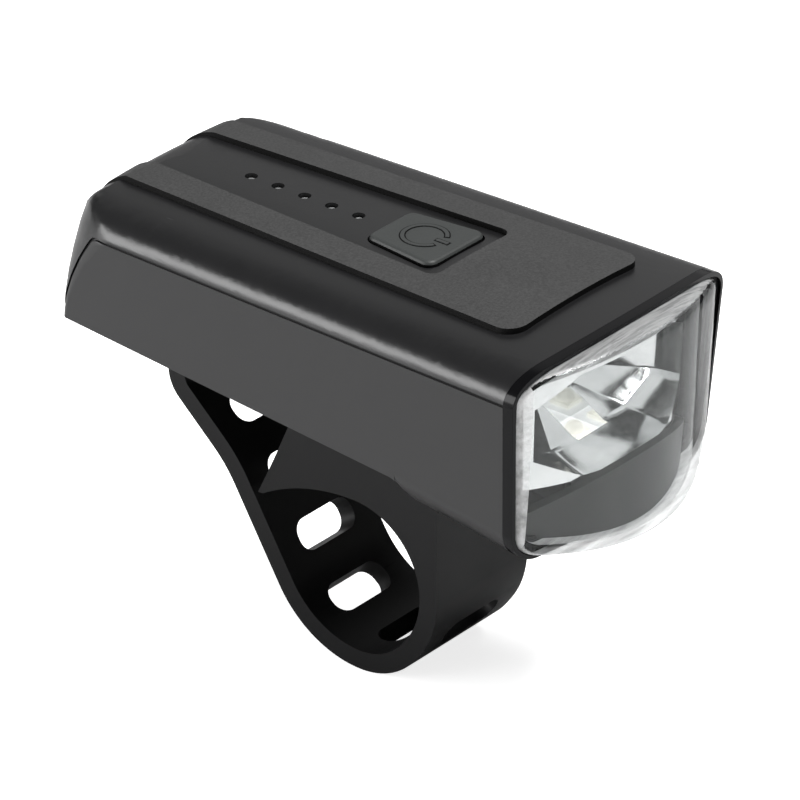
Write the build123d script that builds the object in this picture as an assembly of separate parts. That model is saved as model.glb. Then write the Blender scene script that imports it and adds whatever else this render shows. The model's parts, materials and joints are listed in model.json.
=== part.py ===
from build123d import *
import os
from math import cos, radians, sin, tan

# Bike headlight with a rubber handlebar strap, in millimetres. The origin lies on the
# handlebar's axis, midway across the light. +X is across, +Y is to the rear, away from
# the lens, and +Z is up.

# Handlebar and body datums
bar_radius = 12.7
top_height = 54.5  # top face of the pad above the bar axis
edge_y = -39.0  # front edge of the shells at their sides
overrun = 3.0  # how far a cutter passes the face that it leaves
seat_gap = 0.05

# Body outline
half_width = 25.0  # at the shells' front edge
plan_taper = 1.82  # degrees a side, narrowing to the rear
side_draft = 4.0  # degrees, narrowing downwards
front_lean = 3.6  # degrees, the face leans back downwards
crown_drop = 0.9  # fall of the top from its middle to the shoulders
shoulder_run = 7.2
shoulder_pull_share = 0.58
wall = 1.8
roll_radius = 9.0
roll_angle = 74.0  # degrees turned by the rear roll-over
rear_bottom_z = 31.8
step_rear_y, step_rear_z = -17.6, 27.5
step_front_y, step_front_z = -21.6, 22.8
nose_y, nose_bottom_z = -58.0, 18.45
step_fillet = 2.6
front_bow_radius = 143.0  # plan radius of the shells' front edge
tail_bow_radius = 150.0
corner_low_radius = 1.0  # rear corners in plan
corner_top_share = 0.8  # of the half width
corner_growth = 1.5  # power of the height that the corner radius follows
corner_levels = 6
corner_ease = 0.06

# Parting of the shells
parting_drop = 6.65  # below the pad's top
panel_corner_back = 9.0  # from the tail to where the side panel's upper edge turns down
panel_mid_back, panel_mid_z = 4.2, 40.3
panel_foot_back, panel_foot_z = 0.8, 29.6
panel_corner_radius = 2.4
groove_width = 0.5
groove_depth = 0.4
gasket_inset = 0.6
gasket_size = 0.7

# Pad on top
pad_proud = 0.9
pad_sunk = 0.6
pad_front_y = -33.6
pad_front_half = 15.5
pad_rear_half = 12.5
pad_end_z = 39.0
pad_corner = 3.2
channel_front_y = -13.9
channel_front_half = 9.25
channel_rear_half = 6.7
channel_corner = 1.8

# Power button
button_front_y, button_rear_y = -11.2, 2.3
button_front_half, button_rear_half = 6.9, 5.3
button_corner = 1.7
button_gap = 0.3
button_below_pad = 0.15
button_edge = 0.45
button_skin = 1.2
button_travel = 0.5
flange_width = 0.9
flange_thick = 0.7
flange_gap = 0.3

# Indicator lights
light_first_y = 8.0
light_pitch = 5.24
light_count = 5
window_radius = 1.0
window_depth = 0.9
pipe_radius = 0.75
pipe_gap = 0.05
pipe_flange_radius = 1.3
pipe_flange_thick = 0.5
indicator_length, indicator_width, indicator_height = 1.6, 0.9, 0.6
indicator_gap = 0.2

# Main board and what it carries
board_top_z = 48.8
board_thick = 1.2
board_half = 15.0
board_front_y, board_back = -15.6, 7.8  # its rear edge is set back from the tail
board_corner = 1.5
post_x = 11.0
post_front_y, post_back = -8.0, 16.4
post_radius = 2.2
board_screw_radius = 0.95
board_head_radius = 1.8
board_head_height = 1.1
board_screw_bite = 2.4
screw_gap = 0.05
switch_size, switch_height = 5.2, 1.5
stem_radius = 1.0
stem_gap = 0.1
chip_size, chip_height = 4.0, 0.9
coil_size, coil_height = 5.0, 2.4
chip_x, chip_y = 8.5, 22.0
coil_y = 12.0

# Charging socket and its cover
socket_width, socket_height, socket_length = 8.94, 3.16, 7.3
socket_skin = 0.3
socket_back = 2.9  # mouth inside the tail
contact_width, contact_thick, contact_length = 6.7, 0.7, 5.5
socket_gap = 0.1
pocket_half = 6.2
pocket_below, pocket_above = 4.6, 3.4  # from the socket's middle
pocket_corner = 1.2
pocket_wall = 1.6
cover_gap = 0.25
cover_thick = 1.9
hinge_inset = 1.1  # hinge axis inside the rear face
tether_half = 2.6
tether_depth = 2.4
rim_wall = 0.8
rim_margin = 0.5

# Battery
cell_length, cell_width, cell_height = 50.0, 34.0, 10.0
cell_front_y = -10.0
cell_room = 10.4  # from the cell to the tail
cell_bottom_z = 33.7
cell_corner = 1.6
tab_width, tab_length, tab_thick = 12.0, 1.6, 3.0
rib_thick = 1.2
rib_count = 4
foam_width = 5.0
foam_length_share = 0.72  # of the cell
foam_x = 7.5
foam_front_y = -5.0
wire_radius = 0.55
wire_bend = 1.7
wire_x = 3.0
wire_out = 2.4

# Lens, bezel and their seal
bezel_depth = 1.8
bezel_ring = 0.7
bezel_floor = 0.8
sleeve_gap = 0.1
sleeve_wall = 1.2
sleeve_depth = 2.6
lens_gap = 0.1
lens_wall = 1.7
lens_top_proud, lens_foot_proud = 9.0, 9.8  # bulge in front of the shells' edge
lens_top_bow, lens_foot_bow = 7.6, 13.0  # fall of the bulge from its middle to the sides
lens_belly = 2.8  # crown of the underside, reached at the nose
lens_edge = 2.2
seal_thick = 0.5
front_corner = 5.6

# Reflector, chin and light source
optic_gap = 0.3
reflector_set_back = 4.4  # behind the lens's outer face
reflector_back_y = -24.0
reflector_rim = 1.3
bowl_depth = 14.0
bowl_mid_depth = 8.0
bowl_mid_share, bowl_back_share = 0.8, 0.42
bowl_corner_share = 0.55
optic_boss_radius = 2.4
chin_thick = 1.4
chin_side_rise = 6.5
chin_arch_rise = 15.5
led_board_thick = 1.6
led_board_half = 9.0
led_board_front_y, led_board_rear_y = -37.0, -22.2
led_board_top_z = 30.8
led_size, led_height = 3.5, 0.7
led_y = -33.0
dome_radius = 1.5
reflector_lift = 0.2
sink_thick = 1.5
sink_top_z = 44.0
fin_count = 4
fin_reach = 2.4
fin_thick = 1.0
fin_pitch = 5.0
notch_half, notch_height = 2.6, 1.8
optic_screw_x, optic_screw_z = 13.0, 40.0
optic_screw_radius = 0.95
optic_head_radius = 1.8
optic_head_height = 1.1
optic_screw_bite = 3.0
rail_x = 6.5
rail_thick = 1.4
led_wire_x = 1.2
led_wire_y = -18.4
led_wire_lap = 0.75

# Case screws
case_screw_x = 15.2
case_screw_front_y, case_screw_back = -14.0, 6.8
case_screw_radius = 1.1
case_head_radius = 2.0
case_head_height = 1.5
case_head_recess = 0.7
case_boss_radius = 3.2
case_boss_gap = 0.2
case_boss_split_z = 37.0
case_screw_bite = 6.0

# Strap
strap_half = 11.0
strap_thick = 3.2
clamp_start, clamp_end = 90.0, 215.8  # degrees round the bar, from its top over the front
saddle_arc_radius = 34.0
saddle_arc_angle = 32.0
saddle_tip_thick = 0.9
saddle_heel_y = 9.4
saddle_mid_y, saddle_mid_z = 13.0, 20.4
heel_drop = 1.5
heel_radius = 10.5
belly_radius = 15.2
leg_angle, upper_leg_angle = 58.9, 42.0
leg_length, upper_leg_length = 17.1, 9.2
leg_bow_radius = 25.0
hook_bend_radius = 3.0
strap_end_z = 30.2
slot_width, slot_height = 12.6, 5.2
slot_corner = 2.3
slot_pitch = 11.0
slot_count = 6
slot_lead = 12.3  # from the first slot's middle to the start of the belly
strap_screw_y = 4.6
strap_screw_radius = 1.5
strap_head_radius = 2.8
strap_head_height = 1.8
washer_radius, washer_thick = 3.4, 0.8
washer_z = 22.0
washer_gap = 0.2
insert_radius = 2.1
insert_boss_radius = 3.6
insert_lift = 0.8  # insert's lower end above the outer face

# Hook under the rear of the lower shell
hook_half = 4.2
stem_front_y = 29.8
stem_thick = 3.3
hook_top_z = 26.4
hook_thick = 2.4
hook_tip_y = 39.6
hook_tip_thick = 1.6
hook_tip_rise = 1.4
hook_fillet = 0.5

side_plane = Plane(origin=(0, 0, 0), x_dir=(0, 1, 0), z_dir=(1, 0, 0))
tail_y = cell_front_y + cell_length + cell_room  # furthest point of the rear face
panel_corner_y, panel_mid_y = tail_y - panel_corner_back, tail_y - panel_mid_back
panel_foot_y = tail_y - panel_foot_back
board_rear_y, post_rear_y = tail_y - board_back, tail_y - post_back
socket_mouth_y, case_screw_rear_y = tail_y - socket_back, tail_y - case_screw_back
reach = 2 * half_width
corner_top_radius = corner_top_share * half_width
foam_length = foam_length_share * cell_length
shell_top_z = top_height - pad_proud
parting_z = top_height - parting_drop
board_bottom_z = board_top_z - board_thick
roof_z = shell_top_z - wall  # inner face of the top shell on its middle line
socket_z = board_bottom_z - socket_height / 2
pocket_bottom_z, pocket_top_z = socket_z - pocket_below, socket_z + pocket_above
button_top_z = top_height - button_below_pad
flange_top_z = roof_z - flange_gap
switch_y = (button_front_y + button_rear_y) / 2
hinge_y, hinge_z = tail_y - hinge_inset, pocket_bottom_z + cover_gap + hinge_inset
underside_slope = (rear_bottom_z - step_rear_z) / (tail_y - step_rear_y)
nose_slope = (step_front_z - nose_bottom_z) / (step_front_y - nose_y)
front_bottom_z = step_front_z - nose_slope * (step_front_y - edge_y)
sink_bottom_z = led_board_top_z - led_board_thick - sink_thick
optic_inset = wall + sleeve_gap + sleeve_wall + optic_gap


# Helpers for places and plain shapes
def front_plane(y):
    return Plane(origin=(0, y, 0), x_dir=(1, 0, 0), z_dir=(0, -1, 0))


def top_plane(z):
    return Plane.XY.offset(z)


def block(x_half, y_low, y_high, z_low, z_high):
    place = Pos(0, (y_low + y_high) / 2, (z_low + z_high) / 2)
    return place * Box(2 * x_half, y_high - y_low, z_high - z_low)


def peg(x, y, z_low, z_high, radius):
    return Pos(x, y, (z_low + z_high) / 2) * Cylinder(radius, z_high - z_low)


def along_y(x, y_low, y_high, radius):
    return Pos(x, (y_low + y_high) / 2, optic_screw_z) * Rot(X=90) * Cylinder(radius, y_high - y_low)


def width_at(y):
    return half_width - (y - edge_y) * tan(radians(plan_taper))


def underside(y):
    return step_rear_z + underside_slope * (y - step_rear_y)


# Outer form of the body
def section_face(w, inset, foot_z, corner, belly=0):
    """Cross-section with a crowned top, soft shoulders, drafted sides and a flat or crowned foot."""
    top_z = shell_top_z - inset
    shoulder_x, shoulder_z = w - shoulder_run, top_z - crown_drop
    fall = shoulder_z - parting_z
    crown_slope = 2 * crown_drop / shoulder_x
    pull = shoulder_pull_share * (w - shoulder_x)
    shoulder = Bezier(
        (shoulder_x, shoulder_z),
        (shoulder_x + pull, shoulder_z - pull * crown_slope),
        (w, parting_z + shoulder_pull_share * fall),
        (w, parting_z),
    )
    crown = ThreePointArc((-shoulder_x, shoulder_z), (0, top_z), (shoulder_x, shoulder_z))
    foot = (w - (parting_z - foot_z) * tan(radians(side_draft)), foot_z)
    side = Line(shoulder @ 1, foot)
    base = Line(foot, (-foot[0], foot[1]))
    if belly > 0:
        base = ThreePointArc(foot, (0, foot_z - belly), (-foot[0], foot_z))
    left = [mirror(edge, about=Plane.YZ) for edge in (shoulder, side)]
    face = make_face([crown, base, shoulder, side] + left)
    if corner > 0:
        face = fillet(face.vertices().sort_by(Axis.Y)[:2], corner)
    return face


def rear_sweep(inset):
    """Roll-over and rear face, swept round a wide bow."""
    radius = roll_radius - inset
    slant = tan(radians(90 - roll_angle))
    roll = CenterArc((tail_y - roll_radius, shell_top_z - roll_radius), radius, 90, -roll_angle)
    bend_z = (roll @ 1).Y - (tail_y - inset - (roll @ 1).X) / slant
    low_z = nose_bottom_z - overrun
    back = Bezier(roll @ 1, (tail_y - inset, bend_z), (tail_y - inset, low_z))
    top = Line((nose_y, (roll @ 0).Y), roll @ 0)
    front = Polyline(back @ 1, (nose_y, low_z), top @ 0)
    centre_y = tail_y - tail_bow_radius
    axis = Axis((0, centre_y, 0), (0, 0, 1))
    return revolve(side_plane * make_face([top, roll, back, front]), axis).rotate(axis, 90)


def above_floor(inset):
    """Everything above the stepped underside."""
    floor = FilletPolyline(
        (tail_y + overrun, rear_bottom_z + underside_slope * overrun + inset),
        (step_rear_y, step_rear_z + inset),
        (step_front_y, step_front_z + inset),
        (nose_y, nose_bottom_z + inset),
        radius=step_fillet,
    )
    rest = Polyline(floor @ 1, (nose_y, top_height), (tail_y + overrun, top_height), floor @ 0)
    return extrude(side_plane * make_face([floor, rest]), amount=reach, both=True)


def bowed_cut(centre_y, radius):
    """Everything behind a bowed and leaning face whose foremost point is at centre_y."""
    return Pos(0, centre_y + radius, parting_z) * Rot(X=front_lean) * Cylinder(radius, 2 * reach)


def behind_edge(depth):
    """Everything behind the shells' front edge by depth."""
    sag = front_bow_radius - (front_bow_radius ** 2 - half_width ** 2) ** 0.5
    return bowed_cut(edge_y - sag + depth, front_bow_radius)


def nose_form(inset):
    """Rounds the lower edges in front of the step and leaves the rest as it is."""
    rise = nose_slope * (step_rear_y - step_front_y)
    ends = []
    for y, foot_z in ((nose_y, nose_bottom_z), (step_rear_y, step_front_z + rise)):
        face = section_face(width_at(y) - inset, inset, foot_z + inset, front_corner - inset)
        ends.append(front_plane(y) * face)
    return loft(ends, ruled=True) + block(reach, step_rear_y, tail_y + overrun, 0, top_height)


def body_form(inset):
    """Outer form of the two shells, drawn in by inset."""
    foot_z = nose_bottom_z - overrun
    ends = []
    for y in (nose_y, tail_y + overrun):
        ends.append(front_plane(y) * section_face(width_at(y) - inset, inset, foot_z, 0))
    tube_form = loft(ends, ruled=True)
    return tube_form & nose_form(inset) & rear_sweep(inset) & above_floor(inset)


def plan_outline(z, inset):
    """Plan outline at one height, its rear corners rounder towards the top."""
    draft = max(parting_z - z, 0) * tan(radians(side_draft)) + inset - corner_ease
    rear_y = tail_y + corner_ease - inset
    nose_half, rear_half = width_at(nose_y) - draft, width_at(rear_y) - draft
    rear_drop = tail_bow_radius - (tail_bow_radius ** 2 - rear_half ** 2) ** 0.5
    corner_y = rear_y - rear_drop
    tail = ThreePointArc((rear_half, corner_y), (0, rear_y), (-rear_half, corner_y))
    sides = Polyline(tail @ 1, (-nose_half, nose_y), (nose_half, nose_y), tail @ 0)
    face = make_face([tail, sides])
    growth_share = (max(z - rear_bottom_z, 0) / (top_height - rear_bottom_z)) ** corner_growth
    radius = corner_low_radius + growth_share * (corner_top_radius - corner_low_radius)
    radius = max(radius - inset, corner_low_radius)
    return top_plane(z) * fillet(face.vertices().sort_by(Axis.Y)[-2:], radius)


def rounded_form(inset):
    """Body form with its rear corners rounded in plan."""
    rise = (top_height - rear_bottom_z) / corner_levels
    levels = [nose_bottom_z - overrun] + [rear_bottom_z + rise * n for n in range(corner_levels + 1)]
    return body_form(inset) & loft([plan_outline(z, inset) for z in levels], ruled=True)


# Parting between the shells
def parting_zone(shift):
    """What belongs to the lower shell, with its edge moved out by shift."""
    corner = (panel_corner_y, parting_z)
    foot = (panel_foot_y, panel_foot_z)
    under_z = nose_bottom_z - 2 * overrun
    drop = ThreePointArc(corner, (panel_mid_y, panel_mid_z), foot)
    rest = Polyline(foot, (foot[0] + overrun, under_z), (nose_y, under_z), (nose_y, parting_z), corner)
    face = make_face([drop, rest])
    bend = face.vertices().sort_by_distance(corner)[0]
    face = fillet(bend, panel_corner_radius)
    if shift:
        face = offset(face, shift)
    return extrude(side_plane * face, amount=reach, both=True)


def parting_band(half):
    return parting_zone(half) - parting_zone(-half)


def make_gasket():
    ring = rounded_form(gasket_inset) - rounded_form(gasket_inset + gasket_size)
    return ring & parting_band(gasket_size / 2) & behind_edge(0)


# Top pad and button outlines
def tapered_plan(front_half, rear_half, front_y, rear_y, corner):
    """Plan outline that narrows to the rear, rounded at its front corners."""
    slope = (front_half - rear_half) / (panel_corner_y - front_y)
    end_half = front_half - slope * (rear_y - front_y)
    outline = Polyline(
        (-front_half, front_y),
        (front_half, front_y),
        (end_half, rear_y),
        (-end_half, rear_y),
        close=True,
    )
    face = make_face(outline)
    return fillet(face.vertices().sort_by(Axis.Y)[:2], corner)


def pad_plan():
    whole = tapered_plan(pad_front_half, pad_rear_half, pad_front_y, tail_y + overrun, pad_corner)
    channel = tapered_plan(
        channel_front_half, channel_rear_half, channel_front_y, tail_y + 2 * overrun, channel_corner
    )
    return whole - channel


def make_pad():
    faded_form = body_form(-pad_proud) & Pos(0, -pad_proud, 0) * rear_sweep(-pad_proud)
    skin = faded_form - body_form(pad_sunk)
    strips = extrude(top_plane(pad_end_z) * pad_plan(), amount=reach)
    return skin & strips


def button_plan(grow):
    outline = Polyline(
        (-button_front_half, button_front_y),
        (button_front_half, button_front_y),
        (button_rear_half, button_rear_y),
        (-button_rear_half, button_rear_y),
        close=True,
    )
    face = fillet(make_face(outline).vertices(), button_corner)
    return offset(face, grow) if grow else face


def make_button():
    height = button_top_z - flange_top_z
    cap = extrude(top_plane(flange_top_z) * button_plan(0), amount=height)
    cap = chamfer(cap.faces().sort_by(Axis.Z)[-1].edges(), button_edge)
    flange = extrude(top_plane(flange_top_z) * button_plan(flange_width), amount=-flange_thick)
    hollow = button_plan(-button_skin) - Pos(0, switch_y) * Circle(switch_size / 2)
    return cap + flange - extrude(top_plane(flange_top_z) * hollow, amount=height - button_skin)


# Repeated places
def light_places():
    return [(0, light_first_y + n * light_pitch) for n in range(light_count)]


def post_places():
    return [(x, y) for x in (-post_x, post_x) for y in (post_front_y, post_rear_y)]


def case_screw_places():
    ys = (case_screw_front_y, case_screw_rear_y)
    return [(x, y) for x in (-case_screw_x, case_screw_x) for y in ys]


# Rear pocket with the charging socket
def pocket_prism(gap):
    """Space for the port cover, seen from the rear, less a gap all round."""
    width, height = 2 * (pocket_half - gap), pocket_above + pocket_below - 2 * gap
    face = RectangleRounded(width, height, pocket_corner)
    mid_z = (pocket_bottom_z + pocket_top_z) / 2
    depth = tail_y + overrun - socket_mouth_y
    return extrude(front_plane(tail_y + overrun) * Pos(0, mid_z) * face, amount=depth)


def socket_prism(grow, y_front, y_rear):
    outline = SlotOverall(socket_width + 2 * grow, socket_height + 2 * grow)
    return extrude(front_plane(y_rear) * Pos(0, socket_z) * outline, amount=y_rear - y_front)


def tether_form():
    """Rubber foot of the port cover, pressed into the wall below the pocket."""
    low_z = pocket_bottom_z - tether_depth
    return block(tether_half, hinge_y - hinge_inset, tail_y + overrun, low_z, pocket_bottom_z)


def make_socket():
    shell = socket_prism(0, socket_mouth_y - socket_length, socket_mouth_y)
    bore = socket_prism(-socket_skin, socket_mouth_y - contact_length, socket_mouth_y + overrun)
    low_z, high_z = socket_z - contact_thick / 2, socket_z + contact_thick / 2
    tongue_y = socket_mouth_y - contact_length
    tongue = block(contact_width / 2, tongue_y, socket_mouth_y - socket_skin, low_z, high_z)
    return shell - bore + tongue


def make_port_cover(outer):
    """Flap in the rear pocket, with a rim round the socket and a rounded hinge edge."""
    inner_y = tail_y - cover_thick
    flap = (pocket_prism(cover_gap) & outer) - block(reach, nose_y, inner_y, 0, top_height)
    knuckle = Pos(0, hinge_y, hinge_z) * Rot(Y=90) * Cylinder(hinge_inset, 2 * (pocket_half - cover_gap))
    knuckle = knuckle & outer & pocket_prism(cover_gap)
    flap = flap - block(reach, nose_y, tail_y + overrun, 0, hinge_z) + knuckle
    ring = socket_prism(rim_margin + rim_wall, socket_mouth_y + seat_gap, inner_y + seat_gap)
    return flap + ring - socket_prism(rim_margin, socket_mouth_y, inner_y)


# Shells
def case_boss(x, y):
    return peg(x, y, underside(y), shell_top_z, case_boss_radius)


def make_top_shell(outer, inner, pad):
    shell = outer - inner - parting_zone(0)
    roof = inner & block(reach, nose_y, tail_y, case_boss_split_z, shell_top_z)
    for x, y in post_places():
        shell += peg(x, y, board_top_z, shell_top_z, post_radius) & roof
    for x, y in case_screw_places():
        shell += case_boss(x, y) & roof
    pocket_body = block(
        pocket_half + pocket_wall,
        socket_mouth_y - pocket_wall,
        tail_y,
        pocket_bottom_z - pocket_wall,
        pocket_top_z,
    )
    shell += pocket_body & inner
    shell -= pocket_prism(0)
    shell -= socket_prism(socket_gap, socket_mouth_y - overrun, tail_y)
    shell -= tether_form()
    shell -= pad
    shell -= extrude(top_plane(board_top_z) * button_plan(button_gap), amount=reach)
    for x, y in light_places():
        shell -= peg(x, y, roof_z - overrun, shell_top_z, pipe_radius + pipe_gap)
        shell -= peg(x, y, shell_top_z - window_depth, top_height, window_radius)
    for x, y in post_places():
        shell -= peg(x, y, board_top_z - overrun, board_top_z + board_screw_bite, board_screw_radius)
    screw_tip_z = case_boss_split_z + case_screw_bite
    for x, y in case_screw_places():
        shell -= peg(x, y, case_boss_split_z - overrun, screw_tip_z, case_screw_radius)
    return shell


def hook_form():
    """Hook for the strap's end: a stem, a nose to the rear and an upturned tip."""
    stem_rear_y = stem_front_y + stem_thick
    root_z = underside(stem_front_y) + wall / 2
    low_z = hook_top_z - hook_thick
    outline = Polyline(
        (stem_front_y, root_z),
        (stem_front_y, low_z),
        (hook_tip_y, low_z),
        (hook_tip_y, hook_top_z + hook_tip_rise),
        (hook_tip_y - hook_tip_thick, hook_top_z + hook_tip_rise),
        (hook_tip_y - hook_tip_thick, hook_top_z),
        (stem_rear_y, hook_top_z),
        (stem_rear_y, root_z),
        close=True,
    )
    face = make_face(outline)
    free_corners = face.vertices().filter_by(lambda v: v.Y < underside(stem_front_y))
    return extrude(side_plane * fillet(free_corners, hook_fillet), amount=hook_half, both=True)


def make_lower_shell(outer, inner):
    shell = (outer - inner) & parting_zone(0)
    floor = inner & parting_zone(0) & block(reach, nose_y, tail_y, nose_bottom_z, case_boss_split_z)
    pitch = (cell_length - rib_thick) / (rib_count - 1)
    for n in range(rib_count):
        rib_y = cell_front_y + n * pitch
        shell += block(cell_width / 2, rib_y, rib_y + rib_thick, nose_bottom_z, cell_bottom_z) & floor
    for x, y in case_screw_places():
        shell += case_boss(x, y) & floor
    shell += peg(0, strap_screw_y, underside(strap_screw_y), cell_bottom_z, insert_boss_radius) & floor
    rail = block(rail_thick / 2, led_board_front_y, led_board_rear_y, nose_bottom_z, sink_bottom_z)
    for x in (-rail_x, rail_x):
        shell += Pos(x, 0, 0) * rail & floor
    shell += hook_form()
    for x, y in case_screw_places():
        head_z = underside(y) + case_head_recess + case_head_height
        shell -= peg(x, y, underside(y) - overrun, head_z, case_head_radius + screw_gap)
        shell -= peg(x, y, underside(y) - overrun, reach, case_screw_radius + screw_gap)
    shell -= peg(0, strap_screw_y, nose_bottom_z, reach, strap_screw_radius + screw_gap)
    return shell - peg(0, strap_screw_y, underside(strap_screw_y) + insert_lift, reach, insert_radius)


# Bezel, lens and seal
def front_form(inset):
    """Tube with the front's cross-section, drawn in by inset, its foot dropping towards the nose."""
    start_y = reflector_back_y + overrun
    width, corner = width_at(edge_y) - inset, front_corner - inset
    face = section_face(width, inset, front_bottom_z + inset, corner)
    nose_face = section_face(width, inset, nose_bottom_z + inset, corner, lens_belly)
    straight = extrude(front_plane(start_y) * face, amount=start_y - edge_y)
    return straight + loft([front_plane(edge_y) * face, front_plane(nose_y) * nose_face], ruled=True)


def lens_bulge(inset):
    """Everything behind the lens's bulge, which is tighter at its foot."""
    low = (nose_bottom_z - lens_belly, lens_foot_proud, lens_foot_bow)
    high = (top_height, lens_top_proud, lens_top_bow)
    circles = []
    for z, proud, bow in (low, high):
        radius = (half_width ** 2 + bow ** 2) / (2 * bow)
        circles.append(top_plane(z) * Pos(0, edge_y - proud + radius) * Circle(radius - inset))
    return loft(circles, ruled=True)


def make_bezel():
    opening = wall + sleeve_gap + sleeve_wall
    ring = (front_form(0) - front_form(bezel_ring)) & behind_edge(-bezel_depth)
    floor = (front_form(0) - front_form(opening)) & behind_edge(-bezel_floor)
    sleeve = (body_form(wall + sleeve_gap) - front_form(opening)) & behind_edge(-bezel_floor)
    return ring + floor - behind_edge(0) + (sleeve - behind_edge(sleeve_depth))


def make_seal():
    inset = bezel_ring + lens_gap
    ring = front_form(inset) - front_form(inset + lens_wall)
    return (ring & behind_edge(-bezel_floor - seal_thick)) - behind_edge(-bezel_floor)


def make_lens():
    inset = bezel_ring + lens_gap
    outside = front_form(inset) & lens_bulge(0)
    outside = fillet(outside.faces().sort_by(Axis.Y)[0].edges(), lens_edge)
    inside = front_form(inset + lens_wall) & lens_bulge(lens_wall)
    return outside - inside - behind_edge(-bezel_floor - seal_thick)


# Reflector and chin
def bowl_outline(share, depth):
    """Eight-cornered outline of the faceted bowl at one depth."""
    rim_inset = optic_inset + reflector_rim
    high_z, low_z = shell_top_z - rim_inset, led_board_top_z
    half, rise = (half_width - rim_inset) * share, (high_z - low_z) / 2 * share
    near_half, near_rise = bowl_corner_share * half, bowl_corner_share * rise
    corners = [(half, -near_rise), (half, near_rise), (near_half, rise), (-near_half, rise)]
    corners += [(-x, -z) for x, z in corners]
    face = make_face(Polyline(*corners, close=True))
    face_y = edge_y - lens_top_proud + reflector_set_back
    return front_plane(face_y + depth) * Pos(0, (high_z + low_z) / 2) * face


def make_reflector():
    low_z = led_board_top_z + reflector_lift
    shape = front_form(optic_inset) & lens_bulge(reflector_set_back)
    shape = shape & block(reach, nose_y, reflector_back_y, low_z, shell_top_z)
    bowl_steps = [(1, -overrun), (bowl_mid_share, bowl_mid_depth), (bowl_back_share, bowl_depth)]
    shape -= loft([bowl_outline(share, depth) for share, depth in bowl_steps], ruled=True)
    shape -= block(led_size, led_y - led_size, led_y + led_size, 0, optic_screw_z)
    for x in (-optic_screw_x, optic_screw_x):
        shape += along_y(x, reflector_back_y, led_board_rear_y, optic_boss_radius)
        shape -= along_y(x, reflector_back_y - optic_screw_bite, led_board_rear_y, optic_screw_radius)
    return shape


def make_chin():
    """Curved cover in front of the light source, with an arched upper edge."""
    plate = front_form(optic_inset) & lens_bulge(reflector_set_back - chin_thick)
    plate -= lens_bulge(reflector_set_back)
    side_z, arch_z = front_bottom_z + chin_side_rise, front_bottom_z + chin_arch_rise
    arch = ThreePointArc((-half_width, side_z), (0, arch_z), (half_width, side_z))
    base = Polyline(arch @ 1, (half_width, 0), (-half_width, 0), arch @ 0)
    return plate & extrude(front_plane(reflector_back_y) * make_face([arch, base]), amount=reach)


# Light source and its heat sink
def make_led_board():
    low_z = led_board_top_z - led_board_thick
    return block(led_board_half, led_board_front_y, led_board_rear_y, low_z, led_board_top_z)


def make_led():
    chip_z = led_board_top_z + led_height
    half = led_size / 2
    chip = block(half, led_y - half, led_y + half, led_board_top_z, chip_z)
    dome = Pos(0, led_y, chip_z) * Sphere(dome_radius)
    return chip + (dome & block(reach, nose_y, 0, chip_z, top_height))


def make_heat_sink():
    base_top_z = sink_bottom_z + sink_thick
    plate_y, plate_rear_y = led_board_rear_y, led_board_rear_y + sink_thick
    sink = block(led_board_half, led_board_front_y, plate_rear_y, sink_bottom_z, base_top_z)
    sink += block(optic_screw_x + optic_boss_radius, plate_y, plate_rear_y, sink_bottom_z, sink_top_z)
    notch_top_z = led_board_top_z + notch_height
    for n in range(fin_count):
        x = (n - (fin_count - 1) / 2) * fin_pitch
        fin = block(fin_thick / 2, plate_y, plate_rear_y + fin_reach, notch_top_z, sink_top_z)
        sink += Pos(x, 0, 0) * fin
    sink -= block(notch_half, plate_y, tail_y, base_top_z, notch_top_z)
    for x in (-optic_screw_x, optic_screw_x):
        sink -= along_y(x, plate_y - overrun, plate_y + overrun, optic_screw_radius + screw_gap)
    return sink


def make_optic_screws():
    rear_y = led_board_rear_y + sink_thick
    screws = []
    for x in (-optic_screw_x, optic_screw_x):
        shank = along_y(x, reflector_back_y - optic_screw_bite, rear_y, optic_screw_radius)
        screws.append(shank + along_y(x, rear_y, rear_y + optic_head_height, optic_head_radius))
    return screws


# Switch, lights and main board
def make_switch():
    top_z = board_top_z + switch_height
    half = switch_size / 2
    housing = block(half, switch_y - half, switch_y + half, board_top_z, top_z)
    return housing - peg(0, switch_y, board_top_z + seat_gap, top_z + overrun, stem_radius + stem_gap)


def make_stem():
    low_z = board_top_z + button_travel + stem_gap
    return peg(0, switch_y, low_z, flange_top_z - flange_thick, stem_radius)


def make_light_pipes():
    pipes = []
    for x, y in light_places():
        low_z = board_top_z + indicator_height + indicator_gap
        crown_z = shell_top_z - window_depth + pipe_radius / 2
        pipe = peg(x, y, low_z, crown_z, pipe_radius)
        pipe = fillet(pipe.faces().sort_by(Axis.Z)[-1].edges(), pipe_radius / 2)
        flange_z = roof_z - seat_gap - pipe_flange_thick
        pipes.append(pipe + peg(x, y, flange_z, roof_z - seat_gap, pipe_flange_radius))
    return pipes


def make_indicators():
    chip = Box(indicator_length, indicator_width, indicator_height)
    return [Pos(x, y, board_top_z + indicator_height / 2) * chip for x, y in light_places()]


def make_board():
    outline = RectangleRounded(2 * board_half, board_rear_y - board_front_y, board_corner)
    middle_y = (board_front_y + board_rear_y) / 2
    board = extrude(top_plane(board_bottom_z) * Pos(0, middle_y) * outline, amount=board_thick)
    for x, y in post_places():
        board -= peg(x, y, board_bottom_z, board_top_z, board_screw_radius + screw_gap)
    for x, y in case_screw_places():
        board -= peg(x, y, board_bottom_z, board_top_z, case_boss_radius + case_boss_gap)
    return board


def make_board_screws():
    screws = []
    for x, y in post_places():
        shank = peg(x, y, board_bottom_z, board_top_z + board_screw_bite, board_screw_radius)
        screws.append(shank + peg(x, y, board_bottom_z - board_head_height, board_bottom_z, board_head_radius))
    return screws


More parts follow.
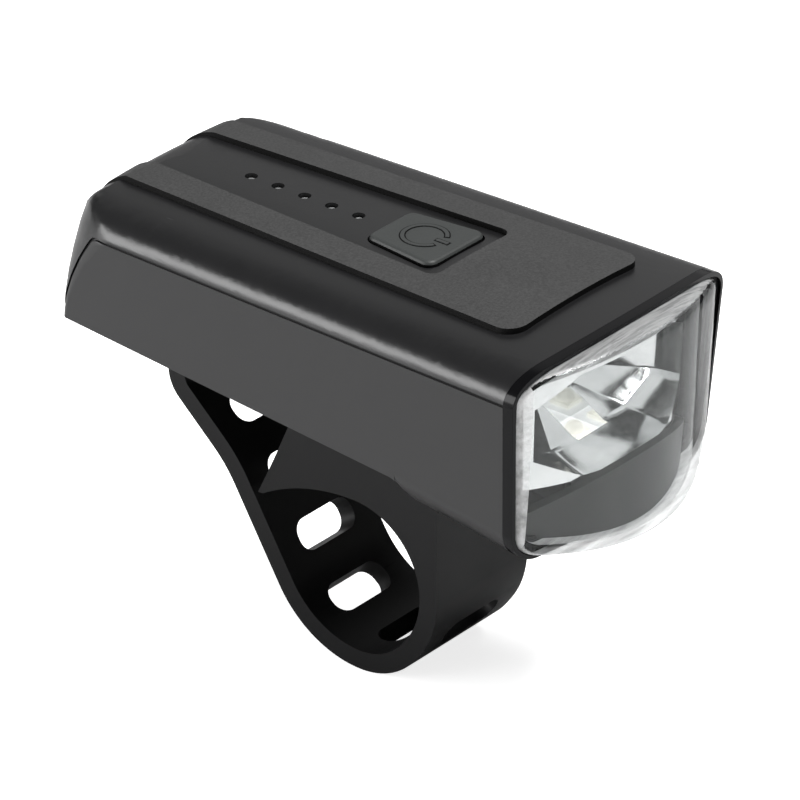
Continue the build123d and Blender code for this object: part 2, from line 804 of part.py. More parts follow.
def make_board_parts():
    chip = Box(chip_size, chip_size, chip_height)
    coil = Box(coil_size, coil_size, coil_height)
    places = [(-chip_x, chip_y), (chip_x, chip_y), (-chip_x, coil_y)]
    chips = [Pos(x, y, board_top_z + chip_height / 2) * chip for x, y in places]
    return chips + [Pos(chip_x, coil_y, board_top_z + coil_height / 2) * coil]


# Battery and wires
def make_cell():
    place = Pos(0, cell_front_y + cell_length / 2, cell_bottom_z + cell_height / 2)
    cell = fillet((place * Box(cell_width, cell_length, cell_height)).edges().filter_by(Axis.Y), cell_corner)
    middle_z = cell_bottom_z + cell_height / 2
    tab_z = middle_z - tab_thick / 2
    return cell + block(tab_width / 2, cell_front_y - tab_length, cell_front_y, tab_z, middle_z)


def make_foam():
    top_z = cell_bottom_z + cell_height
    strip = block(foam_width / 2, foam_front_y, foam_front_y + foam_length, top_z, board_bottom_z)
    return [Pos(x, 0, 0) * strip for x in (-foam_x, foam_x)]


def wire_along(points):
    path = FilletPolyline(*points, radius=wire_bend)
    return sweep(Plane(origin=path @ 0, z_dir=path % 0) * Circle(wire_radius), path=path)


def make_battery_wires():
    start_y = cell_front_y - tab_length
    z = cell_bottom_z + cell_height / 2 - tab_thick / 4
    wires = []
    for x in (-wire_x, wire_x):
        points = [(x, start_y, z), (x, start_y - wire_out, z), (x, start_y - wire_out, board_bottom_z)]
        wires.append(wire_along(points))
    return wires


def make_led_wires():
    start_y = board_front_y + wire_radius
    z = led_board_top_z + wire_radius
    high_z = board_bottom_z - 2 * wire_bend
    wires = []
    for x in (-led_wire_x, led_wire_x):
        points = [
            (x, start_y, board_bottom_z),
            (x, start_y, high_z),
            (x, led_wire_y, high_z - (start_y - led_wire_y)),
            (x, led_wire_y, z),
            (x, led_board_rear_y - led_wire_lap, z),
        ]
        wires.append(wire_along(points))
    return wires


def make_case_screws():
    screws = []
    for x, y in case_screw_places():
        seat_z = underside(y) + case_head_recess + case_head_height
        shank = peg(x, y, seat_z, case_boss_split_z + case_screw_bite, case_screw_radius)
        screws.append(shank + peg(x, y, seat_z - case_head_height, seat_z, case_head_radius))
    return screws


# Strap and its fixing
def polar(radius, angle):
    return (radius * cos(radians(angle)), radius * sin(radians(angle)))


def strap_runs(grow):
    """The loop's inner line, or a line outside it by grow, as arcs and straight runs."""
    clamp = CenterArc((0, 0), bar_radius + grow, clamp_start, clamp_end - clamp_start)
    front = Line(clamp @ 1, clamp @ 1 + (clamp % 1) * heel_drop)
    heel = JernArc(front @ 1, front % 1, heel_radius + grow, 270 - clamp_end)
    belly = JernArc(heel @ 1, heel % 1, belly_radius + grow, leg_angle)
    leg = Line(belly @ 1, belly @ 1 + (belly % 1) * leg_length)
    bow = JernArc(leg @ 1, leg % 1, leg_bow_radius - grow, upper_leg_angle - leg_angle)
    upper = Line(bow @ 1, bow @ 1 + (bow % 1) * upper_leg_length)
    bend = JernArc(upper @ 1, upper % 1, hook_bend_radius + grow, 90 - upper_leg_angle)
    end = Line(bend @ 1, ((bend @ 1).X, strap_end_z))
    return [clamp, front, heel, belly, leg, bow, upper, bend, end]


def strap_profile():
    inner, outer = strap_runs(0), strap_runs(strap_thick)
    saddle_centre = polar(bar_radius - saddle_arc_radius, clamp_start)
    saddle = CenterArc(saddle_centre, saddle_arc_radius, clamp_start - saddle_arc_angle, saddle_arc_angle)
    outer[0] = CenterArc((0, 0), bar_radius + strap_thick, 180, clamp_end - 180)
    front_y = (outer[0] @ 0).X
    front = Line((front_y, underside(front_y) - seat_gap), outer[0] @ 0)
    top = Line((saddle_heel_y, underside(saddle_heel_y) - seat_gap), front @ 0)
    tip = saddle @ 0 + (saddle_tip_thick, 0)
    rear = ThreePointArc(top @ 0, (saddle_mid_y, saddle_mid_z), tip)
    end_cap = Line(inner[-1] @ 1, outer[-1] @ 1)
    return make_face([saddle, *inner, end_cap, *outer, front, top, rear, Line(tip, saddle @ 0)])


def slot_plane(along):
    """Plane square to the strap at a length along its inner line, from the belly's start."""
    runs = strap_runs(0)
    distance = sum(run.length for run in runs[:3]) + along
    for run in runs:
        if distance <= run.length:
            break
        distance -= run.length
    point, heading = run @ (distance / run.length), run % (distance / run.length)
    return Plane(origin=(0, point.X, point.Y), x_dir=(1, 0, 0), z_dir=(0, heading.Y, -heading.X))


def make_strap():
    strap = extrude(side_plane * strap_profile(), amount=strap_half, both=True)
    slot = RectangleRounded(slot_width, slot_height, slot_corner)
    for n in range(slot_count):
        plane = slot_plane(n * slot_pitch - slot_lead)
        strap -= extrude(plane * slot, amount=strap_thick + overrun, both=True)
    hook_low_z = hook_top_z + seat_gap - slot_height
    strap -= block(slot_width / 2, stem_front_y, hook_tip_y + overrun, hook_low_z, hook_top_z + seat_gap)
    strap -= peg(0, strap_screw_y, bar_radius / 2, washer_z, washer_radius + washer_gap)
    return strap - peg(0, strap_screw_y, 0, top_height, strap_screw_radius + screw_gap)


def make_strap_screw():
    head_top_z = washer_z - washer_thick
    head = peg(0, strap_screw_y, head_top_z - strap_head_height, head_top_z, strap_head_radius)
    return head + peg(0, strap_screw_y, head_top_z, cell_bottom_z - seat_gap, strap_screw_radius)


def make_strap_washer():
    washer = peg(0, strap_screw_y, washer_z - washer_thick, washer_z, washer_radius)
    return washer - peg(0, strap_screw_y, 0, top_height, strap_screw_radius + screw_gap)


def make_insert():
    low_z = underside(strap_screw_y) + insert_lift
    insert = peg(0, strap_screw_y, low_z, cell_bottom_z - seat_gap, insert_radius)
    return insert - peg(0, strap_screw_y, 0, top_height, strap_screw_radius)


def build():
    outer = rounded_form(0) & behind_edge(0)
    inner = rounded_form(wall)
    pad = make_pad()
    groove = (outer - rounded_form(groove_depth)) & parting_band(groove_width / 2)
    gasket = make_gasket()
    return {
        "top_shell": make_top_shell(outer, inner, pad) - groove - gasket,
        "lower_shell": make_lower_shell(outer, inner) - groove - gasket,
        "shell_gasket": gasket,
        "top_pad": pad,
        "power_button": make_button(),
        "switch_housing": make_switch(),
        "switch_stem": make_stem(),
        "light_pipes": make_light_pipes(),
        "indicator_leds": make_indicators(),
        "main_board": make_board(),
        "board_screws": make_board_screws(),
        "board_components": make_board_parts(),
        "charge_socket": make_socket(),
        "port_cover": make_port_cover(outer),
        "port_cover_anchor": tether_form() & outer,
        "battery_cell": make_cell(),
        "battery_foam": make_foam(),
        "battery_wires": make_battery_wires(),
        "led_wires": make_led_wires(),
        "front_bezel": make_bezel(),
        "lens": make_lens(),
        "lens_seal": make_seal(),
        "reflector": make_reflector(),
        "chin_cover": make_chin(),
        "led_board": make_led_board(),
        "led_emitter": make_led(),
        "heat_sink": make_heat_sink(),
        "optic_screws": make_optic_screws(),
        "case_screws": make_case_screws(),
        "strap": make_strap(),
        "strap_screw": make_strap_screw(),
        "strap_washer": make_strap_washer(),
        "threaded_insert": make_insert(),
    }


os.makedirs("parts", exist_ok=True)
for name, shape in build().items():
    if isinstance(shape, list):
        shape = Compound(children=shape)
    export_step(shape, f"parts/{name}.step")
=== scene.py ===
import json
import math
import bmesh
import bpy
from mathutils import Euler, Matrix, Vector

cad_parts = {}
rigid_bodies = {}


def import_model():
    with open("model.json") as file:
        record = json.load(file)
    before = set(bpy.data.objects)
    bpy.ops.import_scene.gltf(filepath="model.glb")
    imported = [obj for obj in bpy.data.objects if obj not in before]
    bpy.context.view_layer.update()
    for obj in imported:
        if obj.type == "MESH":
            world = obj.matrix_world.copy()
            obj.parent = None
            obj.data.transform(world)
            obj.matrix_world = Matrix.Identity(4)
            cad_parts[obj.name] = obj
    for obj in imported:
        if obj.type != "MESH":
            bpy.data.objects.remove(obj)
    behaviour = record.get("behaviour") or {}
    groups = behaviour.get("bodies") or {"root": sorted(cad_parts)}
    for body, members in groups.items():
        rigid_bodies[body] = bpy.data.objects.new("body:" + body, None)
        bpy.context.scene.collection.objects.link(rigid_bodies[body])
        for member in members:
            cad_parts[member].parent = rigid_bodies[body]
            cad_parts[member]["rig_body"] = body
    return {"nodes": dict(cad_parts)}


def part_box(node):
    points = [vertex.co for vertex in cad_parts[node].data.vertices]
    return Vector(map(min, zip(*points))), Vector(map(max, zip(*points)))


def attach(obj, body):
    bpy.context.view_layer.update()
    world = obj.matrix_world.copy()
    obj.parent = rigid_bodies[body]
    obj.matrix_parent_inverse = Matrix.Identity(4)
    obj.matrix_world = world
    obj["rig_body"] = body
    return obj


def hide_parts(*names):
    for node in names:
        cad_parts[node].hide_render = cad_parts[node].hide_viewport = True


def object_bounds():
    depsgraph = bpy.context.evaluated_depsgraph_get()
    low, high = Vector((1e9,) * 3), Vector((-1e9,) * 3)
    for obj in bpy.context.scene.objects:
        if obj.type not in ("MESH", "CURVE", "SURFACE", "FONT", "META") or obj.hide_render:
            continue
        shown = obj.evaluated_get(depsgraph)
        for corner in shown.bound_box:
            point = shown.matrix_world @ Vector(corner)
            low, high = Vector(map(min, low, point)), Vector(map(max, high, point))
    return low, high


# Bike headlight with a rubber handlebar strap, dressed for a studio picture. Lengths are metres.

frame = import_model()
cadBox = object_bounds()
mm = 0.001
print("frame loaded", len(frame["nodes"]), "nodes")


# Shader maths: a wire is one socket, and an expression on wires adds its Math nodes

def feed(socket, value):
    # a wire is linked to the socket, and any other value is set on it
    if isinstance(value, Wire):
        value.tree.links.new(value.socket, socket)
    else:
        socket.default_value = value


class Wire:
    def __init__(self, tree, socket):
        self.tree = tree
        self.socket = socket

    def maths(self, operation, first, second):
        node = self.tree.nodes.new("ShaderNodeMath")
        node.operation = operation
        for socket, value in zip(node.inputs, (first, second)):
            feed(socket, value)
        return Wire(self.tree, node.outputs[0])

    def __add__(self, other):
        return self.maths("ADD", self, other)

    def __radd__(self, other):
        return self.maths("ADD", other, self)

    def __mul__(self, other):
        return self.maths("MULTIPLY", self, other)

    def __rmul__(self, other):
        return self.maths("MULTIPLY", other, self)

    def __pow__(self, other):
        return self.maths("POWER", self, other)

    def __rpow__(self, other):
        return self.maths("POWER", other, self)


class NodeBench:
    def __init__(self, tree):
        self.tree = tree

    def add(self, kind, settings=None, inputs=None, output=0):
        # one node of any kind: settings first, then the values or links of its sockets
        node = self.tree.nodes.new("ShaderNode" + kind)
        for name, value in (settings or {}).items():
            setattr(node, name, value)
        for name, value in (inputs or {}).items():
            feed(node.inputs[name], value)
        return Wire(self.tree, node.outputs[output])


class Finish(NodeBench):
    def __init__(self, name):
        self.material = bpy.data.materials.new(name)
        self.material.use_nodes = True
        super().__init__(self.material.node_tree)
        self.shader = self.tree.nodes["Principled BSDF"]
        self.body = Wire(self.tree, self.shader.outputs[0])

    def set(self, **values):
        for name, value in values.items():
            feed(self.shader.inputs[name.replace("_", " ")], value)

    def show(self, surface):
        feed(self.tree.nodes["Material Output"].inputs["Surface"], surface)

    def noise(self, scale, detail=4.0, roughness=0.5, stretch=None):
        where = self.add("TexCoord", output="Object")
        if stretch:
            where = self.add("Mapping", {}, {"Vector": where, "Scale": stretch})
        values = {"Vector": where, "Scale": scale, "Detail": detail, "Roughness": roughness}
        return self.add("TexNoise", {}, values)

    def spread(self, wire, low, high, fromLow=0.3, fromHigh=0.7):
        values = {"Value": wire, "From Min": fromLow, "From Max": fromHigh, "To Min": low, "To Max": high}
        return self.add("MapRange", {}, values)

    def around(self, wire, middle, reach):
        return self.spread(wire, middle - reach, middle + reach)

    def mottle(self, share, colour, depth, lift):
        # inputs 6 and 7 of a Mix node are its two colours, and its output 2 is the mixed one
        dark = [c * (1 - depth) for c in colour]
        light = [c * (1 + lift) for c in colour]
        values = {"Factor": share, 6: (*dark, 1), 7: (*light, 1)}
        return self.add("Mix", {"data_type": "RGBA"}, values, output=2)

    def bump(self, height, distance):
        self.set(Normal=self.add("Bump", {}, {"Height": height, "Distance": distance}))


# Finishes

def mouldedFinish(name, look):
    # moulded plastic or rubber: broad mottling, fine grain, faint scuffs
    finish = Finish(name)
    grain = finish.noise(look["grainScale"], detail=2.0, roughness=0.6)
    patches = finish.noise(look["patchScale"])
    scuffs = finish.noise(look["scuffScale"], detail=6.0, roughness=0.7, stretch=(1, 0.15, 1))
    share = finish.spread(grain, 0, look["speckle"]) + finish.spread(patches, 0, 1 - look["speckle"])
    rough = finish.around(patches, look["roughness"], look["roughSpread"])
    rough = rough + finish.spread(scuffs, 0, look["roughSpread"], fromLow=0.55, fromHigh=0.75)
    finish.set(Base_Color=finish.mottle(share, look["colour"], look["mottle"], look["mottle"]))
    finish.set(Roughness=rough)
    finish.set(IOR=look["ior"], Specular_IOR_Level=look["gloss"])
    # a glow above zero is painted light on a part that is no lamp
    finish.set(Emission_Color=(*look["colour"], 1), Emission_Strength=look["glow"])
    finish.bump(grain, look["grainHeight"])
    return finish.material


def metalFinish(name, look):
    # metal or metal plating: fine brushing and patches of duller tone
    finish = Finish(name)
    brushing = finish.noise(look["brushScale"], detail=3.0, roughness=0.6, stretch=look["brushStretch"])
    patches = finish.noise(look["patchScale"])
    finish.set(Base_Color=finish.mottle(finish.spread(patches, 0, 1), look["colour"], look["mottle"], 0))
    finish.set(Metallic=1.0, Roughness=finish.around(brushing, look["roughness"], look["roughSpread"]))
    finish.bump(brushing, look["brushHeight"])
    return finish.material


def clearFinish(name, look):
    # clear plastic that lets lamps through: streaks of haze, and a gloss that grows towards grazing views
    finish = Finish(name)
    streaks = finish.noise(look["hazeScale"], roughness=0.65, stretch=look["hazeStretch"])
    finish.set(Base_Color=(*look["colour"], 1), Metallic=look["metallic"])
    finish.set(Roughness=finish.spread(streaks, *look["roughness"]))
    grazing = finish.add("LayerWeight", {}, {"Blend": 0.5}, output="Facing")
    mirror = grazing ** look["grazingPower"] * (1 - look["headOn"]) + look["headOn"]
    cover = finish.spread(streaks, *look["haze"]) + mirror * look["gloss"]
    clear = finish.add("BsdfTransparent", {}, {"Color": (*look["tint"], 1)})
    finish.show(finish.add("MixShader", {}, {0: cover, 1: clear, 2: finish.body}))
    return finish.material


plasticLook = dict(colour=(0.0115, 0.0115, 0.012), mottle=0.06, speckle=0.6, roughness=0.31,
                   roughSpread=0.025, ior=1.46, gloss=0.5, glow=0.0, grainScale=5200,
                   grainHeight=0.012 * mm, patchScale=120, scuffScale=360)
metalLook = dict(colour=(0.55, 0.55, 0.56), mottle=0.10, roughness=0.28, roughSpread=0.05, brushScale=1500,
                 brushStretch=(1, 1, 0.3), brushHeight=0.004 * mm, patchScale=400)
# headOn is the share that clear plastic mirrors when it is seen squarely
clearLook = dict(colour=(0.60, 0.61, 0.61), metallic=1.0, tint=(0.985, 0.99, 0.99), haze=(0.0, 0.02),
                 gloss=0.85, roughness=(0.03, 0.08), hazeScale=160, hazeStretch=(1, 1, 0.2), headOn=0.04,
                 grazingPower=5)
finishes = {
    "shell_black": mouldedFinish("shellPlastic", plasticLook),
    "pad_rubber": mouldedFinish("padRubber", {
        **plasticLook, "colour": (0.040, 0.040, 0.040), "mottle": 0.35, "speckle": 0.8, "roughness": 0.55,
        "grainScale": 2600, "grainHeight": 0.03 * mm}),
    "button_rubber": mouldedFinish("buttonRubber", {
        **plasticLook, "colour": (0.038, 0.041, 0.040), "mottle": 0.10, "roughness": 0.5,
        "grainScale": 3600}),
    "strap_rubber": mouldedFinish("strapSilicone", {
        **plasticLook, "colour": (0.0055, 0.0055, 0.0058), "mottle": 0.08, "roughness": 0.48, "gloss": 0.18,
        "grainScale": 3000, "grainHeight": 0.008 * mm}),
    "cover_rubber": mouldedFinish("coverRubber", {
        **plasticLook, "colour": (0.010, 0.010, 0.0105), "roughness": 0.58}),
    # near-black gasket rubber, which is also laid on the pad's and button's sides and round the power symbol
    # as painted shade
    "gasket_rubber": mouldedFinish("gasketRubberAndPaintedShade", {
        **plasticLook, "colour": (0.003, 0.003, 0.003), "roughness": 0.6, "gloss": 0.12}),
    "bezel_gloss": mouldedFinish("bezelGloss", {
        **plasticLook, "colour": (0.004, 0.004, 0.0045), "mottle": 0.04, "roughness": 0.16, "gloss": 0.14,
        "grainHeight": 0.002 * mm}),
    "chin_grey": mouldedFinish("chinGrey", {
        **plasticLook, "colour": (0.018, 0.019, 0.0185), "mottle": 0.03, "roughness": 0.38,
        "grainHeight": 0.003 * mm}),
    # the LED packages glow though they are no lamps: painted light
    "led_package": mouldedFinish("ledCeramic", {
        **plasticLook, "colour": (0.82, 0.81, 0.74), "mottle": 0.08, "roughness": 0.35, "glow": 0.8,
        "grainHeight": 0.002 * mm}),
    "board_green": mouldedFinish("boardGreen", {
        **plasticLook, "colour": (0.012, 0.085, 0.035), "mottle": 0.2, "roughness": 0.32,
        "grainScale": 1800}),
    # the white LED board glows though it is no lamp: painted light, which brightens it and its reflections
    "board_white": mouldedFinish("boardWhite", {
        **plasticLook, "colour": (0.78, 0.79, 0.79), "mottle": 0.04, "roughness": 0.4, "glow": 0.95}),
    "component_black": mouldedFinish("componentBlack", {
        **plasticLook, "colour": (0.018, 0.018, 0.019), "roughness": 0.42}),
    "switch_plastic": mouldedFinish("switchPlastic", {
        **plasticLook, "colour": (0.06, 0.06, 0.062), "roughness": 0.4}),
    "cell_foil": mouldedFinish("cellFoil", {
        **plasticLook, "colour": (0.30, 0.32, 0.33), "mottle": 0.15, "roughness": 0.3, "grainScale": 900}),
    "foam_grey": mouldedFinish("foamGrey", {
        **plasticLook, "colour": (0.05, 0.05, 0.052), "mottle": 0.4, "roughness": 0.9, "grainScale": 1500,
        "grainHeight": 0.15 * mm}),
    "wire_jacket": mouldedFinish("wireJacket", {
        **plasticLook, "colour": (0.35, 0.015, 0.012), "roughness": 0.36}),
    "reflector_chrome": metalFinish("reflectorChrome", {
        **metalLook, "colour": (0.80, 0.81, 0.81), "roughness": 0.11, "brushScale": 900,
        "brushStretch": (1, 1, 0.2), "brushHeight": 0.002 * mm, "patchScale": 300}),
    "steel": metalFinish("screwSteel", metalLook),
    "insert_brass": metalFinish("insertBrass", {
        **metalLook, "colour": (0.72, 0.53, 0.25), "mottle": 0.12, "roughness": 0.3, "roughSpread": 0.06}),
    "sink_aluminium": metalFinish("sinkAluminium", {
        **metalLook, "colour": (0.62, 0.63, 0.64), "mottle": 0.08, "roughness": 0.35, "roughSpread": 0.06,
        "brushScale": 900, "brushStretch": (0.1, 1, 1), "brushHeight": 0.006 * mm, "patchScale": 200}),
    "lens_clear": clearFinish("lensClear", clearLook),
    "pipe_clear": clearFinish("pipeClear", {
        **clearLook, "colour": (0.45, 0.46, 0.46), "metallic": 0.0, "tint": (0.8, 0.8, 0.8),
        "haze": (0.3, 0.6), "gloss": 1.0, "roughness": (0.2, 0.35), "hazeScale": 900,
        "hazeStretch": (1, 1, 1)}),
}
print("finishes made", len(finishes))


# Pieces that take the model's own form: welded, smoothed and with softened edges

slotOf = {
    "top_shell": "shell_black", "lower_shell": "shell_black", "shell_gasket": "gasket_rubber",
    "top_pad": "pad_rubber", "power_button": "button_rubber", "switch_housing": "switch_plastic",
    "switch_stem": "switch_plastic", "light_pipes": "pipe_clear", "indicator_leds": "led_package",
    "main_board": "board_green", "board_screws": "steel", "board_components": "component_black",
    "charge_socket": "steel", "port_cover": "cover_rubber", "port_cover_anchor": "cover_rubber",
    "battery_cell": "cell_foil", "battery_foam": "foam_grey", "battery_wires": "wire_jacket",
    "led_wires": "wire_jacket", "front_bezel": "bezel_gloss", "lens": "lens_clear",
    "lens_seal": "gasket_rubber", "reflector": "reflector_chrome", "chin_cover": "chin_grey",
    "led_board": "board_white", "led_emitter": "led_package", "heat_sink": "sink_aluminium",
    "optic_screws": "steel", "case_screws": "steel", "strap": "strap_rubber", "strap_screw": "steel",
    "strap_washer": "steel", "threaded_insert": "insert_brass",
}
weld = dict(distance=0.002 * mm, flatAngle=0.6, sharpAngle=32)  # angles in degrees


def weldedMesh(node):
    mesh = bmesh.new()
    mesh.from_mesh(frame["nodes"][node].data)
    bmesh.ops.remove_doubles(mesh, verts=mesh.verts, dist=weld["distance"])
    return mesh


def softenEdges(mesh, width, segments):
    # flat stretches become single faces first, so that a bevel runs along whole edges
    flat = math.radians(weld["flatAngle"])
    bmesh.ops.dissolve_limit(mesh, angle_limit=flat, verts=mesh.verts, edges=mesh.edges)
    limit = math.radians(weld["sharpAngle"])
    sharp = [e for e in mesh.edges if e.is_manifold and e.is_convex and e.calc_face_angle() > limit]
    bmesh.ops.bevel(mesh, geom=sharp, offset=width, offset_type="OFFSET", affect="EDGES", segments=segments,
                    profile=0.5, material=-1, clamp_overlap=True)


def meshObject(name, dataName, mesh, material):
    data = bpy.data.meshes.new(dataName)
    mesh.to_mesh(data)
    mesh.free()
    data.materials.append(material)
    piece = bpy.data.objects.new(name, data)
    bpy.context.scene.collection.objects.link(piece)
    return piece


def dressNode(node, mesh, finish=None, title="Look"):
    for edge in mesh.edges:
        edge.smooth = edge.is_manifold and edge.calc_face_angle() < math.radians(weld["sharpAngle"])
    for face in mesh.faces:
        face.smooth = True
    piece = meshObject(node + title, node + "Form", mesh, finish or finishes[slotOf[node]])
    shading = piece.modifiers.new("evenShading", "WEIGHTED_NORMAL")
    shading.keep_sharp = True
    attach(piece, frame["nodes"][node]["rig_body"])
    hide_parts(node)


def splitMesh(mesh, test):
    # the faces that pass the test, and the rest, as two meshes
    rest = mesh.copy()
    bmesh.ops.delete(mesh, geom=[f for f in mesh.faces if not test(f)], context="FACES")
    bmesh.ops.delete(rest, geom=[f for f in rest.faces if test(f)], context="FACES")
    return mesh, rest


# width and segments of the rounding
softEdges = {
    "top_pad": (0.22 * mm, 2), "power_button": (0.3 * mm, 3), "strap": (0.5 * mm, 3),
    "front_bezel": (0.2 * mm, 2), "port_cover": (0.3 * mm, 2), "lower_shell": (0.12 * mm, 2),
}
# how far a side may lean: the sides are painted shade in the near-black gasket rubber, like the shaded gap
# beside them, apart from those that look rearward
paintedShadeSides = {"top_pad": 0.4, "power_button": 0.3}
rearward = 0.5


def paintedShadeSideTest(node):
    return lambda face: abs(face.normal.z) < paintedShadeSides[node] and face.normal.y < rearward


shaped = ("lens", "chin_cover", "top_shell", "switch_housing")
for node in sorted(set(slotOf) - set(shaped)):
    mesh = weldedMesh(node)
    if node in softEdges:
        softenEdges(mesh, *softEdges[node])
    if node in paintedShadeSides:
        sides, mesh = splitMesh(mesh, paintedShadeSideTest(node))
        # the pad's and button's sides take the near-black gasket rubber: painted shade
        dressNode(node, sides, finishes["gasket_rubber"], "Sides")
    dressNode(node, mesh)
print("plain pieces dressed", len(slotOf) - len(shaped))


# Switch: its top stays a hair below the pressed button

switchStop = dict(gap=0.03 * mm, band=0.01 * mm)


def switchMesh():
    mesh = weldedMesh("switch_housing")
    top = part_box("switch_housing")[1][2]
    topVerts = [v for v in mesh.verts if v.co.z > top - switchStop["band"]]
    bmesh.ops.translate(mesh, verts=topVerts, vec=(0, 0, -switchStop["gap"]))
    return mesh


dressNode("switch_housing", switchMesh())


# Top shell: the rear corners run softly into the shoulders. They start that far out, back and up.

corners = dict(start=(16.2 * mm, 31.0 * mm, 48.4 * mm), longest=0.9 * mm, rounds=3, passes=14, pull=0.5)


def cornerVerts(mesh):
    out, back, up = corners["start"]
    return [v for v in mesh.verts if abs(v.co.x) > out and v.co.y > back and v.co.z > up]


def topShellMesh():
    mesh = weldedMesh("top_shell")
    for _ in range(corners["rounds"]):
        verts = set(cornerVerts(mesh))
        longEdges = [e for e in mesh.edges if verts & set(e.verts) and e.calc_length() > corners["longest"]]
        bmesh.ops.subdivide_edges(mesh, edges=longEdges, cuts=1)
        bmesh.ops.triangulate(mesh, faces=[f for f in mesh.faces if len(f.verts) > 4])
    for _ in range(corners["passes"]):
        bmesh.ops.smooth_vert(mesh, verts=cornerVerts(mesh), factor=corners["pull"], use_axis_x=True,
                              use_axis_y=True, use_axis_z=True)
    return mesh


dressNode("top_shell", topShellMesh())
print("switch and top shell dressed")


# Lens: a clear front, and whitish hazy bands on the near edge, the ledge above and the sides: painted glare
# from light caught in the thick plastic on the near edge and sides, and a painted highlight on the ledge

# width of the near edge's band of painted glare, and how squarely the front looks ahead and the ledge looks
# up
lensCut = dict(frost=2.1 * mm, front=0.55, ledge=0.6)
# the rim, near edge and ledge looks are whitish haze that paints glare and highlights into the plastic's
# colour
rimLook = dict(clearLook, colour=(0.66, 0.665, 0.665), metallic=0.0, tint=(0.92, 0.925, 0.925),
               haze=(0.35, 0.8), gloss=0.8, roughness=(0.18, 0.4), hazeScale=420, hazeStretch=(0.25, 1.6, 1))
paintedGlareLook = dict(rimLook, colour=(0.90, 0.905, 0.905), haze=(0.30, 0.75))
ledgeLook = dict(rimLook, colour=(0.40, 0.405, 0.405), haze=(0.35, 0.95), hazeScale=900,
                 hazeStretch=(0.12, 1.4, 1))


def dressLens():
    low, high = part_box("lens")
    glareEdge = low[0] + lensCut["frost"]
    middle = (low[2] + high[2]) / 2
    mesh = weldedMesh("lens")
    whole = mesh.verts[:] + mesh.edges[:] + mesh.faces[:]
    bmesh.ops.bisect_plane(mesh, geom=whole, plane_co=(glareEdge, 0, 0), plane_no=(1, 0, 0))
    frost, clear = splitMesh(mesh, lambda face: face.calc_center_median().x < glareEdge)
    front, walls = splitMesh(clear, lambda face: abs(face.normal.y) > lensCut["front"])
    ledge, sides = splitMesh(walls, lambda face: abs(face.normal.z) > lensCut["ledge"]
                             and face.calc_center_median().z > middle)
    dressNode("lens", front, title="Front")
    dressNode("lens", frost, clearFinish("lensPaintedGlare", paintedGlareLook), "PaintedGlare")
    dressNode("lens", sides, clearFinish("lensRim", rimLook), "Sides")
    dressNode("lens", ledge, clearFinish("lensLedge", ledgeLook), "Ledge")


dressLens()


# Chin below the reflector, drawn in to the lens's foot

chin = dict(narrow=0.95, squat=0.8, sink=1.6 * mm)


def chinMesh():
    mesh = weldedMesh("chin_cover")
    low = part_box("chin_cover")[0][2]
    foot = Matrix.Translation((0, 0, -low))
    bmesh.ops.scale(mesh, verts=mesh.verts, vec=(chin["narrow"], 1, chin["squat"]), space=foot)
    bmesh.ops.translate(mesh, verts=mesh.verts, vec=(0, 0, -chin["sink"]))
    return mesh


dressNode("chin_cover", chinMesh())


# Power symbol on the button: a raised ring with a gap, a short bar in the gap, and around both a dark band
# of painted shade

# gap and its middle in degrees; the gap looks ahead
mark = dict(radius=3.35 * mm, width=0.60 * mm, rise=0.10 * mm, outline=0.20 * mm, outlineRise=0.03 * mm,
            gap=56, gapMiddle=-90, bar=2.2 * mm, steps=56, backSet=-0.2 * mm)


def markMesh(grow, rise):
    # the ring is a small upright plate spun round, and grow widens and lengthens both strokes
    low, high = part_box("power_button")
    centre = Vector((0, (low[1] + high[1]) / 2 + mark["backSet"], high[2]))
    mesh = bmesh.new()
    half = mark["width"] / 2 + grow
    firstAngle = math.radians(mark["gapMiddle"] + mark["gap"] / 2) - grow / mark["radius"]
    start = Matrix.Rotation(firstAngle, 4, "Z")
    reachOut = Matrix.Translation((mark["radius"], 0, 0)) @ Matrix.Rotation(math.pi / 2, 4, "X")
    shape = Matrix.Diagonal((half, rise, 1, 1))
    bmesh.ops.create_grid(mesh, x_segments=1, y_segments=1, size=1, matrix=start @ reachOut @ shape)
    turn = math.radians(360 - mark["gap"]) + 2 * grow / mark["radius"]
    bmesh.ops.spin(mesh, geom=mesh.faces[:], cent=(0, 0, 0), axis=(0, 0, 1), angle=turn, steps=mark["steps"])
    length = mark["bar"] + 2 * grow
    bar = Matrix.Translation((0, -mark["radius"], 0)) @ Matrix.Diagonal((2 * half, length, 2 * rise, 1))
    bmesh.ops.create_cube(mesh, size=1, matrix=bar)
    bmesh.ops.translate(mesh, verts=mesh.verts, vec=centre)
    bmesh.ops.recalc_face_normals(mesh, faces=mesh.faces)
    return mesh


dressNode("power_button", markMesh(0, mark["rise"]), title="Mark")
# a near-black band a little wider than the symbol: painted shade along the edges of the raised strokes
markShade = markMesh(mark["outline"], mark["outlineRise"])
dressNode("power_button", markShade, finishes["gasket_rubber"], "MarkShade")
print("lens, chin and power symbol made")


# Studio

studio = dict(floorGap=0.02 * mm, floorSize=3.0, floorColour=0.82, floorRoughness=0.9, floorGlow=0.80,
              worldLight=0.06)


def floorFinish():
    # matt paper that keeps the shadow, and is lifted to white where the camera sees it
    finish = Finish("floorPaper")
    tone = studio["floorColour"]
    finish.set(Base_Color=(tone, tone, tone, 1), Roughness=studio["floorRoughness"], Specular_IOR_Level=0.0)
    seen = finish.add("LightPath", output="Is Camera Ray")
    glow = finish.add("Emission", {}, {"Color": (1, 1, 1, 1), "Strength": studio["floorGlow"]})
    lifted = finish.add("AddShader", {}, {0: glow, 1: finish.body})
    finish.show(finish.add("MixShader", {}, {0: seen, 1: finish.body, 2: lifted}))
    return finish.material


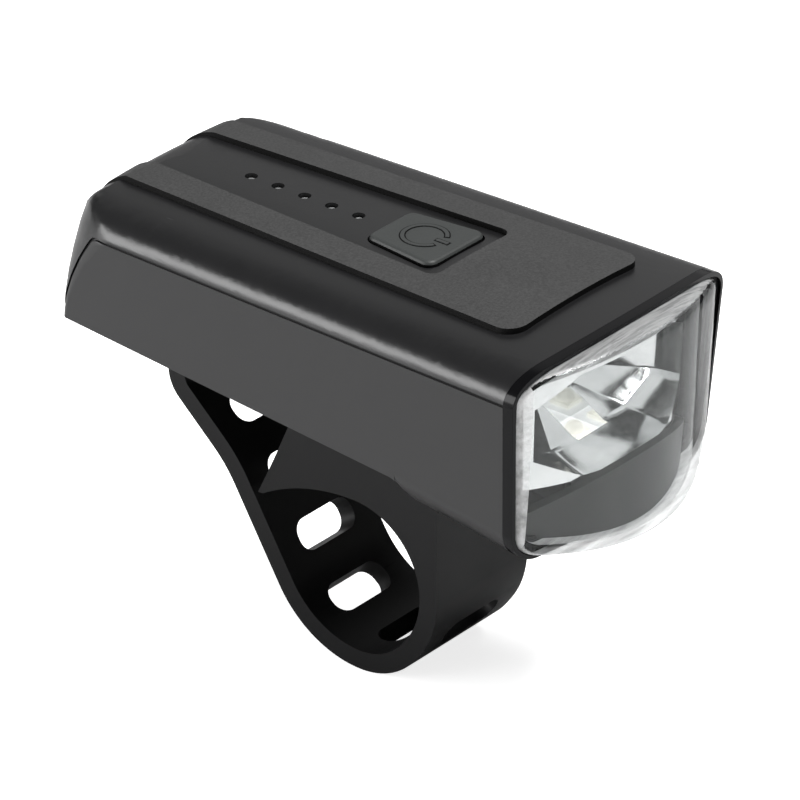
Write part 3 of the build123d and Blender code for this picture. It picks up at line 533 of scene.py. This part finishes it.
def paleFloor():
    mesh = bmesh.new()
    bmesh.ops.create_grid(mesh, x_segments=1, y_segments=1, size=studio["floorSize"] / 2)
    level = cadBox[0][2] - studio["floorGap"]
    bmesh.ops.translate(mesh, verts=mesh.verts, vec=(0, 0, level))
    meshObject("paleFloor", "paleFloor", mesh, floorFinish())


def paleWorld():
    # white where the camera looks past the floor, and dim as a light
    world = bpy.data.worlds.new("paleWorld")
    bpy.context.scene.world = world
    world.use_nodes = True
    background = world.node_tree.nodes["Background"]
    seen = NodeBench(world.node_tree).add("LightPath", output="Is Camera Ray")
    feed(background.inputs["Color"], (1, 1, 1, 1))
    feed(background.inputs["Strength"], studio["worldLight"] + seen * (1 - studio["worldLight"]))


softboxes = {
    "keyBox": dict(place=(0.14, -0.36, 0.84), aim=(0, 0, 0.03), size=(0.36, 0.36), power=10.5),
    "backBox": dict(place=(0.72, 0.60, 0.52), aim=(0, 0, 0.03), size=(1.3, 0.9), power=1.45),
    "leftBox": dict(place=(-0.64, 0.46, 0.20), aim=(0, 0, 0.04), size=(0.62, 0.42), power=8.0),
}


def softboxLamp(name, box):
    lamp = bpy.data.lights.new(name, "AREA")
    lamp.shape = "RECTANGLE"
    lamp.size, lamp.size_y = box["size"]
    lamp.energy = box["power"]
    holder = bpy.data.objects.new(name, lamp)
    bpy.context.scene.collection.objects.link(holder)
    place, aim = Vector(box["place"]), Vector(box["aim"])
    holder.location = place
    holder.rotation_euler = (aim - place).to_track_quat("-Z", "Y").to_euler()


# solved from the photo's straight lines: place, turn in degrees, and the lens and sensor in millimetres
viewpoint = dict(place=(-0.6652, -0.5440, 0.4871), turn=(61.74, 0.0, -50.72), lens=292.5, sensor=36)


def photoCamera():
    camera = bpy.data.cameras.new("photoCamera")
    camera.lens = viewpoint["lens"]
    camera.sensor_width = viewpoint["sensor"]
    holder = bpy.data.objects.new("photoCamera", camera)
    bpy.context.scene.collection.objects.link(holder)
    holder.location = viewpoint["place"]
    holder.rotation_euler = Euler([math.radians(a) for a in viewpoint["turn"]])
    bpy.context.scene.camera = holder


paleFloor()
paleWorld()
for name, box in softboxes.items():
    softboxLamp(name, box)
photoCamera()
bpy.context.scene.view_settings.view_transform = "Standard"
print("studio ready")
